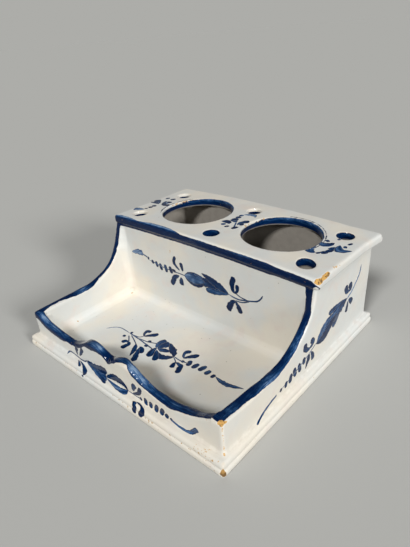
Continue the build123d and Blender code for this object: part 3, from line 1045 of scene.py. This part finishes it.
# The sprigs: each stroke is its form, its points on the panel, its width and its tone (0 pale, 1 dark)
FRONT_SPRIG = [
    (line, ((-60, 6), (-54, 11.5), (-46, 11.6), (-40, 10.6), (-35, 11), (-31, 13.5)), 1.2, 0.45),
    (drop, ((-43.1, 13), (-43.4, 17.5), (-41.6, 21)), 3.2, 0.8),
    (drop, ((-40.4, 13.7), (-36.6, 18.7), (-34.2, 23.2)), 3.2, 0.8),
    (leaf, ((-43.2, 8.5), (-44.2, 4), (-47, 0)), 2.8, 0.8),
    (leaf, ((-41.6, 8.6), (-38.2, 4), (-38.6, 0), (-43.4, -7.2)), 5.2, 0.75),
    (dab, ((-43.4, -7.4), (-45.6, -9)), 1.8, 0.9),
    (drop, ((-29, 12.5), (-19, 10), (-8.5, 9.5)), 8.0, 0.5),
    (drop, ((-31.5, 12.5), (-22, 7.8), (-11.5, 2.6)), 6.6, 0.6),
    (drop, ((-31, 13.6), (-20, 12.6), (-6.5, 16)), 5.6, 0.75),
    (leaf, ((-9.5, 8.5), (-2, 6.2), (5, 5.3), (11, 7), (16, 11.5)), 5.4, 0.45),
    (leaf, ((-9.5, 9), (-3, 12.8), (4, 14.8), (11, 14), (16.4, 10.6)), 5.4, 0.95),
    (drop, ((21.5, 13.5), (22.3, 17), (24.6, 20.6)), 4.0, 0.65),
    (drop, ((20.5, 11), (26, 13.6), (28.6, 17), (30.2, 20.6)), 3.2, 0.85),
    (line, ((15.5, 10.6), (24, 10.4), (30, 10.6)), 0.8, 0.4),
    (dab, ((27.6, 10.6), (30.2, 10.8)), 2.6, 0.9),
    (dab, ((33.2, 7.8), (34.1, 14.2)), 3.2, 0.8),
    (dab, ((38, 8), (39.4, 14.2)), 3.0, 0.85),
    (dab, ((42.7, 7.4), (45.4, 15.2)), 3.2, 0.75),
    (dab, ((47.8, 8), (50.8, 15.2)), 3.3, 0.75),
    (dab, ((52.4, 8.4), (54.6, 12.9)), 3.0, 0.9),
    (dab, ((56.5, 9.2), (58.6, 11)), 2.3, 0.95),
    (tail, ((57.6, 9.8), (64, 8.5), (71.8, 9.2), (76, 12), (80.2, 16.8)), 3.4, 0.42),
    (drop, ((22.6, 4), (19.6, 1), (19, -2.6), (16.8, -9.4)), 3.9, 0.85),
    (drop, ((22.8, 4.2), (27.4, 3.4), (27.6, -1.4), (22.5, -9)), 4.0, 0.95),
    (drop, ((1, 31.2), (-0.2, 28), (-1.8, 25)), 1.9, 0.95),
]
TRAY_SPRIG = [
    (line, ((-64, -48), (-60, -43.1), (-54, -39.9), (-42.2, -40.3)), 0.8, 0.1),
    (line, ((-42.2, -40.3), (-37, -40.7), (-26, -41.7), (-15.6, -43), (-10, -43.7)), 1.1, 0.35),
    (line, ((-37.5, -40.4), (-31.5, -39.6), (-28.8, -36.6)), 0.9, 0.4),
    (line, ((-31, -41), (-20.5, -39.6), (-12, -36.4)), 0.9, 0.4),
    (line, ((-40, -43), (-36.4, -46), (-33, -49)), 0.9, 0.4),
    (line, ((-38.5, -41.6), (-32, -44.4), (-25.8, -47.4)), 0.9, 0.45),
    (dab, ((-42.4, -39.3), (-39.8, -38.8)), 2.5, 0.85),
    (dab, ((-44.5, -45.8), (-41.3, -45.4)), 2.4, 0.85),
    (drop, ((-28.9, -36.6), (-31.4, -33), (-31.2, -29.8), (-28, -28.9)), 3.4, 0.75),
    (drop, ((-28.9, -36.6), (-24.8, -32.2), (-20.4, -27.4)), 3.9, 0.85),
    (drop, ((-33.2, -48.7), (-36.4, -49.8), (-38, -52.6)), 3.7, 0.8),
    (drop, ((-33.4, -48.5), (-31, -51.6), (-32.6, -57.8)), 4.2, 0.8),
    (leaf, ((-26.6, -46.6), (-22, -52.6), (-18.6, -60.2)), 3.6, 0.7),
    (drop, ((-20.4, -48.4), (-16, -55.4), (-11.6, -63)), 4.3, 0.8),
    (drop, ((-21.2, -47.6), (-17.4, -48.6), (-13.8, -52.8)), 3.5, 0.8),
    (dab, ((-21.3, -38.7), (-18, -38)), 2.7, 0.95),
    (dab, ((-19.7, -44.2), (-16, -43.5)), 2.5, 0.95),
    (drop, ((-9.6, -40.8), (-11.2, -35), (-8.8, -29.6)), 5.4, 0.6),
    (drop, ((-7.6, -41), (-6.6, -35.4), (-3.6, -30.8)), 6.2, 0.65),
    (leaf, ((-4.4, -30), (1.6, -34), (6, -36.6), (10.2, -40.4)), 5.4, 0.9),
    (leaf, ((-7.4, -41), (-2, -39.4), (4.6, -36.4)), 4.2, 0.8),
    (leaf, ((-6, -43.4), (0, -46.2), (5.6, -44.6), (10.2, -39.8)), 5.2, 0.85),
    (drop, ((-9.2, -40.6), (-8.8, -46), (-6.2, -52.2)), 5.0, 0.8),
    (drop, ((-7, -42.4), (-2.8, -47), (1.2, -52.4)), 4.6, 0.7),
    (line, ((10, -40), (17, -40.6), (24, -39.4)), 0.9, 0.3),
    (line, ((10, -40.6), (13.5, -42.6), (16, -44.2)), 0.8, 0.3),
    (drop, ((16.8, -37), (14, -33.2), (14.2, -29.8), (17.2, -28.4)), 3.5, 0.7),
    (drop, ((16.8, -37), (20.2, -32.8), (24.8, -27.4)), 3.9, 0.85),
    (drop, ((15.6, -43.6), (15.8, -47), (17.4, -50.6)), 3.6, 0.85),
    (drop, ((15.8, -43.8), (21.6, -45.2), (24.6, -52.6)), 4.0, 0.8),
    (dab, ((17.6, -40.3), (20.8, -40.1)), 2.5, 0.95),
    (dab, ((23.8, -35.4), (25.3, -42)), 3.6, 0.8),
    (dab, ((30.9, -34.8), (29.9, -41.8)), 3.6, 0.8),
    (dab, ((37.4, -33.4), (35.4, -40.9)), 3.7, 0.75),
    (dab, ((43.4, -35.4), (41.6, -41.2)), 3.4, 0.75),
    (dab, ((48.6, -36.8), (47.6, -41.2)), 2.8, 0.95),
    (leaf, ((49.6, -38.2), (57, -39.9), (64, -39.2), (73.4, -35.8)), 3.6, 0.6),
]
RISER_SPRIG = [
    (drop, ((-86, 48.6), (-78, 50.8), (-70.6, 51.2)), 4.6, 0.2),
    (line, ((-71.5, 50.4), (-65, 48.8)), 1.2, 0.25),
    (line, ((-64, 46.8), (-44, 44.4), (-24, 44.2), (-19, 44.2)), 0.8, 0.25),
    (dab, ((-65.2, 48.4), (-62.8, 48)), 2.6, 0.95),
    (dab, ((-59.6, 47.8), (-57.6, 44.4)), 2.7, 0.85),
    (dab, ((-54.4, 48), (-52.8, 42.4)), 2.8, 0.8),
    (dab, ((-49.4, 47.4), (-47.6, 40.8)), 3.1, 0.75),
    (dab, ((-43.2, 48), (-41.4, 40.6)), 3.2, 0.7),
    (dab, ((-37.1, 48), (-35.5, 41.2)), 3.2, 0.8),
    (dab, ((-34.6, 45.8), (-30.2, 44.2)), 2.4, 0.95),
    (drop, ((-25, 47.4), (-29, 50), (-31.3, 53.4), (-29.5, 59.4)), 2.9, 0.9),
    (drop, ((-21.8, 47.4), (-22.4, 51), (-23.8, 55.2)), 3.3, 0.9),
    (drop, ((-26.6, 42), (-32.4, 38.4), (-36.8, 30.2)), 4.4, 0.75),
    (drop, ((-24.8, 41), (-24.4, 38), (-25.2, 33.4)), 4.2, 0.75),
    (leaf, ((-20.4, 44.2), (-10, 44.4), (2.6, 45)), 8.0, 0.4),
    (leaf, ((-20.4, 44.4), (-14, 47), (-6, 48), (4, 47.6)), 4.2, 0.6),
    (leaf, ((-20.4, 44), (-14, 41), (-6, 40), (3, 42.4)), 4.8, 0.9),
    (drop, ((26.4, 42.3), (14, 44.2), (-1.5, 45.4)), 7.2, 0.7),
    (drop, ((27, 42.2), (14, 39.6), (3, 38.8)), 4.2, 0.5),
    (leaf, ((27, 42.3), (15, 47), (-0.6, 52.4)), 5.6, 0.8),
    (line, ((26, 42.3), (34.9, 40.9), (43.8, 42.5), (52.7, 45), (56.8, 48.6), (58.6, 51.9)), 1.1, 0.42),
    (line, ((33, 45.6), (39, 43.5), (46, 42.9)), 0.9, 0.4),
    (line, ((33, 38.8), (40, 39.6), (47, 42.8)), 0.9, 0.4),
    (drop, ((33, 44.8), (30.8, 48), (30.6, 53.6), (33, 59)), 4.2, 0.9),
    (drop, ((33.2, 44.8), (35.2, 48.6), (35.5, 53.4)), 3.0, 0.85),
    (drop, ((33, 38.8), (28.6, 34.4), (25.8, 27)), 4.6, 0.95),
    (drop, ((32.8, 38.4), (35.8, 34.2), (38.2, 28.6)), 3.9, 0.9),
]
SIDE_SPRIG = [
    (tail, ((-36.6, 15.4), (-44, 13.8), (-49.7, 12.1), (-54.4, 9.6), (-57.7, 6.7)), 2.7, 0.5),
    (line, ((-34, 15.6), (-12, 19.4), (2, 23), (13, 27)), 0.8, 0.15),
    (dab, ((-33, 15.8), (-30.2, 15.8)), 2.4, 0.95),
    (dab, ((-26.4, 13.6), (-25.1, 18.8)), 2.8, 0.85),
    (dab, ((-21.1, 13.9), (-19.6, 21.3)), 3.4, 0.8),
    (dab, ((-14.2, 15.1), (-16.2, 23.3)), 3.5, 0.8),
    (dab, ((-8.4, 14.9), (-10.5, 23.3)), 3.5, 0.8),
    (dab, ((-3.6, 18.2), (-4.1, 24.2)), 3.3, 0.75),
    (leaf, ((2.2, 23.6), (1.7, 19.4), (-1.7, 12.6)), 3.7, 0.85),
    (drop, ((4.8, 23.4), (7.2, 19.6), (8.2, 14.8)), 3.6, 0.65),
    (drop, ((4.4, 27.4), (0, 28), (-2.8, 30.6), (-2, 34.8)), 4.2, 0.8),
    (drop, ((2.8, 27.8), (6, 28.4), (7.4, 31), (4, 33.6)), 3.8, 0.65),
    (leaf, ((12.2, 26.6), (20, 32), (29, 35.8), (38, 37.4)), 6.4, 0.45),
    (leaf, ((20, 29.6), (34, 34.4), (46, 38), (55, 40.6)), 8.2, 0.6),
    (leaf, ((11.4, 25.8), (21, 25.4), (30, 30), (40, 35.8)), 6.4, 0.9),
    (drop, ((52, 38.8), (44, 34.6), (38.4, 29.4), (34.4, 26.8)), 4.2, 0.55),
    (drop, ((55, 40.4), (47, 41.2), (36, 41.6), (27.4, 42)), 4.0, 0.55),
    (drop, ((57.4, 45.2), (53.4, 47.8), (51.4, 52.8)), 4.7, 0.75),
    (drop, ((57, 45.4), (59.8, 47.6), (57, 52)), 4.6, 0.7),
    (drop, ((56.9, 37.4), (56.2, 33), (55, 28.2)), 3.5, 0.85),
    (drop, ((57.6, 38), (61.2, 36.2), (64, 32.6)), 4.3, 0.8),
    (line, ((54.6, 40), (62, 43.2), (68, 48), (73, 53.4), (74.8, 60)), 1.5, 0.0),
]
PLATE_SPRIGS = {
    "left": [
        (dab, ((-94.6, 66), (-91.2, 64)), 3.2, 0.8),
        (dab, ((-88, 67), (-84.6, 64.4)), 3.5, 0.8),
        (leaf, ((-87, 56.4), (-82, 54.6)), 4.6, 0.2),
        (drop, ((-88.2, 59), (-86.6, 54), (-82.6, 51), (-77.4, 52.8)), 3.4, 0.85),
        (drop, ((-86.8, 57.4), (-84, 58.2), (-81.2, 57)), 3.1, 0.75),
        (drop, ((-89.6, 50), (-94.6, 53.8), (-98.8, 56.8)), 4.8, 0.75),
        (leaf, ((-89, 49.4), (-94.5, 50.4), (-100, 48.8)), 2.8, 0.7),
        (dab, ((-91.2, 44.9), (-87, 42.6)), 3.0, 0.8),
        (dab, ((-91.3, 40.6), (-87.6, 38.4)), 2.8, 0.85),
        (dab, ((-91.5, 35.8), (-89.4, 34.4)), 2.5, 0.8),
        (drop, ((-90.6, 32.8), (-95.5, 30.4), (-100, 28.4)), 4.4, 0.3),
    ],
    "middle": [
        (leaf, ((-5.6, 70.8), (-1.5, 74.1), (3.4, 74.6), (6.4, 71.6)), 3.2, 0.2),
        (line, ((-1, 55), (2.2, 49), (4, 45)), 0.9, 0.3),
        (dab, ((-7.7, 70), (-4.8, 67.6)), 2.9, 0.5),
        (dab, ((-8, 65.5), (-3.8, 63)), 3.3, 0.8),
        (dab, ((-7.8, 61), (-3.2, 57.8)), 3.8, 0.75),
        (drop, ((-1.2, 54.6), (-4, 56.8), (-7, 59.4)), 4.4, 0.7),
        (dab, ((-9, 47.6), (-6, 44.8)), 3.0, 0.45),
        (leaf, ((-12.8, 50), (-8, 52), (-3.6, 49)), 4.6, 0.85),
        (dab, ((-3.6, 44.9), (-0.6, 43.3)), 3.1, 0.95),
        (dab, ((3, 45.8), (7, 44.5)), 4.6, 0.9),
        (drop, ((3.4, 51), (3, 55.6), (5, 59.4), (8, 61.6)), 4.0, 0.75),
        (dab, ((3.8, 52.8), (7.4, 54.6)), 3.2, 0.8),
    ],
    "right": [
        (dab, ((82, 71.4), (84.4, 70.8)), 3.0, 0.8),
        (dab, ((92, 68.2), (94.6, 67.4)), 3.0, 0.85),
        (dab, ((76.4, 62.8), (78.4, 65.4)), 2.8, 0.75),
        (leaf, ((73.6, 60.6), (77.3, 56.8), (81.2, 59.4), (83.2, 63.8)), 4.6, 0.6),
        (leaf, ((74.8, 52.2), (72.8, 46.5), (75.5, 42.8), (79.9, 42)), 4.8, 0.5),
        (dab, ((80.2, 43.9), (82.6, 42.5)), 2.7, 0.9),
        (dab, ((82.6, 47.6), (86.4, 44.4)), 3.8, 0.8),
        (dab, ((84.2, 51), (88.4, 49.2)), 4.6, 0.9),
        (dab, ((84.6, 56.2), (88.6, 53.6)), 4.8, 0.6),
        (leaf, ((88.2, 62.4), (90, 56.6), (93.4, 54.4), (99.4, 58.4)), 4.8, 0.5),
        (dab, ((91.2, 60.8), (94, 62)), 2.6, 0.7),
    ],
}

TO_RIGHT, TO_BACK, UPWARD, TO_FRONT = (1, 0, 0), (0, 1, 0), (0, 0, 1), (0, -1, 0)


def panel(origin, across, up, outward, breadth, spot=None):
    """A flat panel that strokes are laid on, from straight outside or from a spot, and their breadth."""
    origin, across, up, outward = (Vector(v) for v in (origin, across, up, outward))
    throw = {"throw": -outward, "seen_from": spot}
    return {"origin": origin, "across": across, "up": up, "breadth": breadth, **throw}


def painting(context, name, on, strokes, carriers):
    """Paints strokes on a panel as one piece."""
    depsgraph = context.evaluated_depsgraph_get()
    skins = [BVHTree.FromObject(bpy.data.objects["glazed_" + carrier], depsgraph) for carrier in carriers]
    made = bmesh.new()
    made.verts.layers.float_vector.new("stroke")
    made.verts.layers.float_vector.new("facing")
    made.verts.layers.float.new("half_width")
    for order, stroke in enumerate(strokes):
        add_stroke(made, on, skins, order, context.scene.inkwell_brush, *stroke)
    bmesh.ops.recalc_face_normals(made, faces=made.faces)
    mesh = bpy.data.meshes.new(name)
    made.to_mesh(mesh)
    made.free()
    mesh.attributes.remove(mesh.attributes["facing"])
    mesh.shade_smooth()
    material = bpy.data.materials.get("cobalt_painting") or cobalt_painting(context.scene)
    return finished(mesh, material)


class INKWELL_OT_front_sprig(bpy.types.Operator):
    """Paints the sprig on the front wall and over its foot"""

    bl_idname = "inkwell.front_sprig"
    bl_label = "Front sprig"

    def execute(self, context):
        on = panel((0, FRONT_FACE, 0), TO_RIGHT, UPWARD, TO_FRONT, 1.15, VIEW_SPOT)
        painting(context, "front_sprig", on, FRONT_SPRIG, ["front_wall", "foot_moulding_front", "base_slab"])
        return {"FINISHED"}


class INKWELL_OT_tray_sprig(bpy.types.Operator):
    """Paints the sprig on the pen tray's floor"""

    bl_idname = "inkwell.tray_sprig"
    bl_label = "Tray sprig"

    def execute(self, context):
        on = panel((0, 0, LEDGE), TO_RIGHT, TO_BACK, UPWARD, 1.1)
        painting(context, "tray_sprig", on, TRAY_SPRIG, ["base_slab"])
        return {"FINISHED"}


class INKWELL_OT_riser_sprig(bpy.types.Operator):
    """Paints the sprig on the riser"""

    bl_idname = "inkwell.riser_sprig"
    bl_label = "Riser sprig"

    def execute(self, context):
        on = panel((0, RISER_FACE, 0), TO_RIGHT, UPWARD, TO_FRONT, 1.2)
        painting(context, "riser_sprig", on, RISER_SPRIG, ["riser_wall"])
        return {"FINISHED"}


class INKWELL_OT_side_sprigs(bpy.types.Operator):
    """Paints a sprig on each side wall, the left one mirrored"""

    bl_idname = "inkwell.side_sprigs"
    bl_label = "Side sprigs"

    def execute(self, context):
        for side, way in (("left", -1), ("right", 1)):
            spot = Vector((way * VIEW_SPOT.x, VIEW_SPOT.y, VIEW_SPOT.z))
            on = panel((way * OUTER_X, 0, 0), TO_BACK, UPWARD, (way, 0, 0), 1.2, spot)
            painting(context, f"{side}_sprig", on, SIDE_SPRIG, [f"side_wall_{side}", f"foot_moulding_{side}"])
        return {"FINISHED"}


class INKWELL_OT_plate_sprigs(bpy.types.Operator):
    """Paints the three small sprigs on the top plate"""

    bl_idname = "inkwell.plate_sprigs"
    bl_label = "Plate sprigs"

    def execute(self, context):
        tilted_right = (1, 0, -0.018)
        for place, strokes in PLATE_SPRIGS.items():
            on = panel((0, 0, PLATE_TOP - 1.5), tilted_right, TO_BACK, UPWARD, 1.4, VIEW_SPOT)
            painting(context, f"plate_sprig_{place}", on, strokes, ["top_plate"])
        return {"FINISHED"}


# The floor's half width in metres, the ways to the two lights and the camera's view of the frame
FLOOR_REACH = 30
KEY_WAY = (0.93, -0.1, 0.35)
FILL_WAY = (0.17, -0.7, 0.7)
VIEW_FORWARD = Vector((-0.61219, 0.63035, -0.47738))
VIEW_ROLL = math.radians(4.93)
VIEW_SHIFT = (0.0024, 0.0034)


def lay_floor(scene, stage):
    """A plain floor of matt paper."""
    made = bmesh.new()
    bmesh.ops.create_grid(made, x_segments=1, y_segments=1, size=FLOOR_REACH)
    mesh = bpy.data.meshes.new("floor")
    made.to_mesh(mesh)
    made.free()
    floor = bpy.data.objects.new("floor", mesh)
    scene.collection.objects.link(floor)
    material, tree = new_material("matt_paper")
    paper = {"Base Color": tuple(stage.floor), "Roughness": 1.0, "Specular IOR Level": 0.0}
    add_node(tree, "OutputMaterial", {"Surface": add_node(tree, "BsdfPrincipled", paper)}, None)
    mesh.materials.append(material)


def hang_lights(scene, stage):
    """Two soft lights; returns how brightly they and the even light fall on the floor."""
    level = stage.ambient
    for name, strength, way in (("key", stage.key, KEY_WAY), ("fill", stage.fill, FILL_WAY)):
        way = Vector(way).normalized()
        level += strength * way.z
        lamp = bpy.data.lights.new(name, "SUN")
        lamp.angle = stage.softness
        lamp.energy = strength * math.pi
        light = bpy.data.objects.new(name, lamp)
        light.location = way
        light.rotation_mode = "QUATERNION"
        light.rotation_quaternion = way.to_track_quat("Z", "Y")
        scene.collection.objects.link(light)
    return level


def put_up_backdrop(scene, stage, level):
    """Even light all round, and a backdrop of the floor's brightness, so that no edge shows between them."""
    world = bpy.data.worlds.new("studio")
    world.use_nodes = True
    world.node_tree.nodes.clear()
    scene.world = world
    tree = world.node_tree
    path = add_node(tree, "LightPath", out="Is Camera Ray")
    seen = add_node(tree, "Math", (path, path.node.outputs["Is Glossy Ray"]), operation="MAXIMUM")
    seen = add_node(tree, "Math", (seen, path.node.outputs["Is Transmission Ray"]), operation="MAXIMUM")
    ambient = add_node(tree, "Background", {"Color": (1, 1, 1, 1), "Strength": stage.ambient})
    up = add_node(tree, "SeparateXYZ", (add_node(tree, "TexCoord", out="Generated"),), 2)
    up = add_node(tree, "MapRange", (up, 0.08, 0.5), **SOFT)
    pale = (*(channel * level for channel in stage.floor[:3]), 1)
    shade = add_node(tree, "Mix", {0: up, 6: pale, 7: tuple(stage.ceiling)}, 2, data_type="RGBA")
    shown = add_node(tree, "Background", {"Color": shade, "Strength": 1.0})
    both = add_node(tree, "MixShader", {0: seen, 1: ambient, 2: shown})
    add_node(tree, "OutputWorld", {"Surface": both}, None)


def set_camera(scene, stage):
    """The camera, where the view of the frame fits."""
    view = bpy.data.cameras.new("view")
    view.lens = stage.lens
    view.sensor_width = 36
    view.shift_x, view.shift_y = VIEW_SHIFT
    view.clip_start = 0.01
    camera = bpy.data.objects.new("view", view)
    camera.location = VIEW_SPOT * MM
    camera.rotation_mode = "QUATERNION"
    roll = Matrix.Rotation(VIEW_ROLL, 4, VIEW_FORWARD).to_quaternion()
    camera.rotation_quaternion = roll @ VIEW_FORWARD.to_track_quat("-Z", "Y")
    scene.collection.objects.link(camera)
    scene.camera = camera


class INKWELL_OT_stage(bpy.types.Operator):
    """Sets up a plain pale floor, soft light and the camera"""

    bl_idname = "inkwell.stage"
    bl_label = "Stage"

    def execute(self, context):
        scene, stage = context.scene, context.scene.inkwell_stage
        scene.view_settings.view_transform = "Standard"
        lay_floor(scene, stage)
        level = hang_lights(scene, stage)
        put_up_backdrop(scene, stage, level)
        set_camera(scene, stage)
        return {"FINISHED"}


STEPS = ("stage", "glazed_body", "front_sprig", "tray_sprig", "riser_sprig", "side_sprigs", "plate_sprigs")


class INKWELL_PT_pieces(bpy.types.Panel):
    """The inkwell's steps in the sidebar"""

    bl_idname = "INKWELL_PT_pieces"
    bl_label = "Ceramic inkwell"
    bl_space_type = "VIEW_3D"
    bl_region_type = "UI"
    bl_category = "Inkwell"

    def draw(self, context):
        for step in STEPS:
            self.layout.operator("inkwell." + step)
        for group in ("inkwell_clay", "inkwell_colours", "inkwell_brush", "inkwell_stage"):
            for name in getattr(context.scene, group).__annotations__:
                self.layout.prop(getattr(context.scene, group), name)


GROUPS = {
    "inkwell_clay": InkwellClay,
    "inkwell_colours": InkwellColours,
    "inkwell_brush": InkwellBrush,
    "inkwell_stage": InkwellStage,
}
CLASSES = (
    *GROUPS.values(),
    INKWELL_OT_stage,
    INKWELL_OT_glazed_body,
    INKWELL_OT_front_sprig,
    INKWELL_OT_tray_sprig,
    INKWELL_OT_riser_sprig,
    INKWELL_OT_side_sprigs,
    INKWELL_OT_plate_sprigs,
    INKWELL_PT_pieces,
)


def register():
    """Registers the classes and their settings."""
    for each in CLASSES:
        bpy.utils.register_class(each)
    for name, group in GROUPS.items():
        setattr(bpy.types.Scene, name, bpy.props.PointerProperty(type=group))


def unregister():
    """Takes the classes and their settings away."""
    for name in GROUPS:
        delattr(bpy.types.Scene, name)
    for each in reversed(CLASSES):
        bpy.utils.unregister_class(each)


def main():
    """Makes the whole inkwell."""
    register()
    for step in STEPS:
        getattr(bpy.ops.inkwell, step)()


if __name__ == "__main__":
    main()
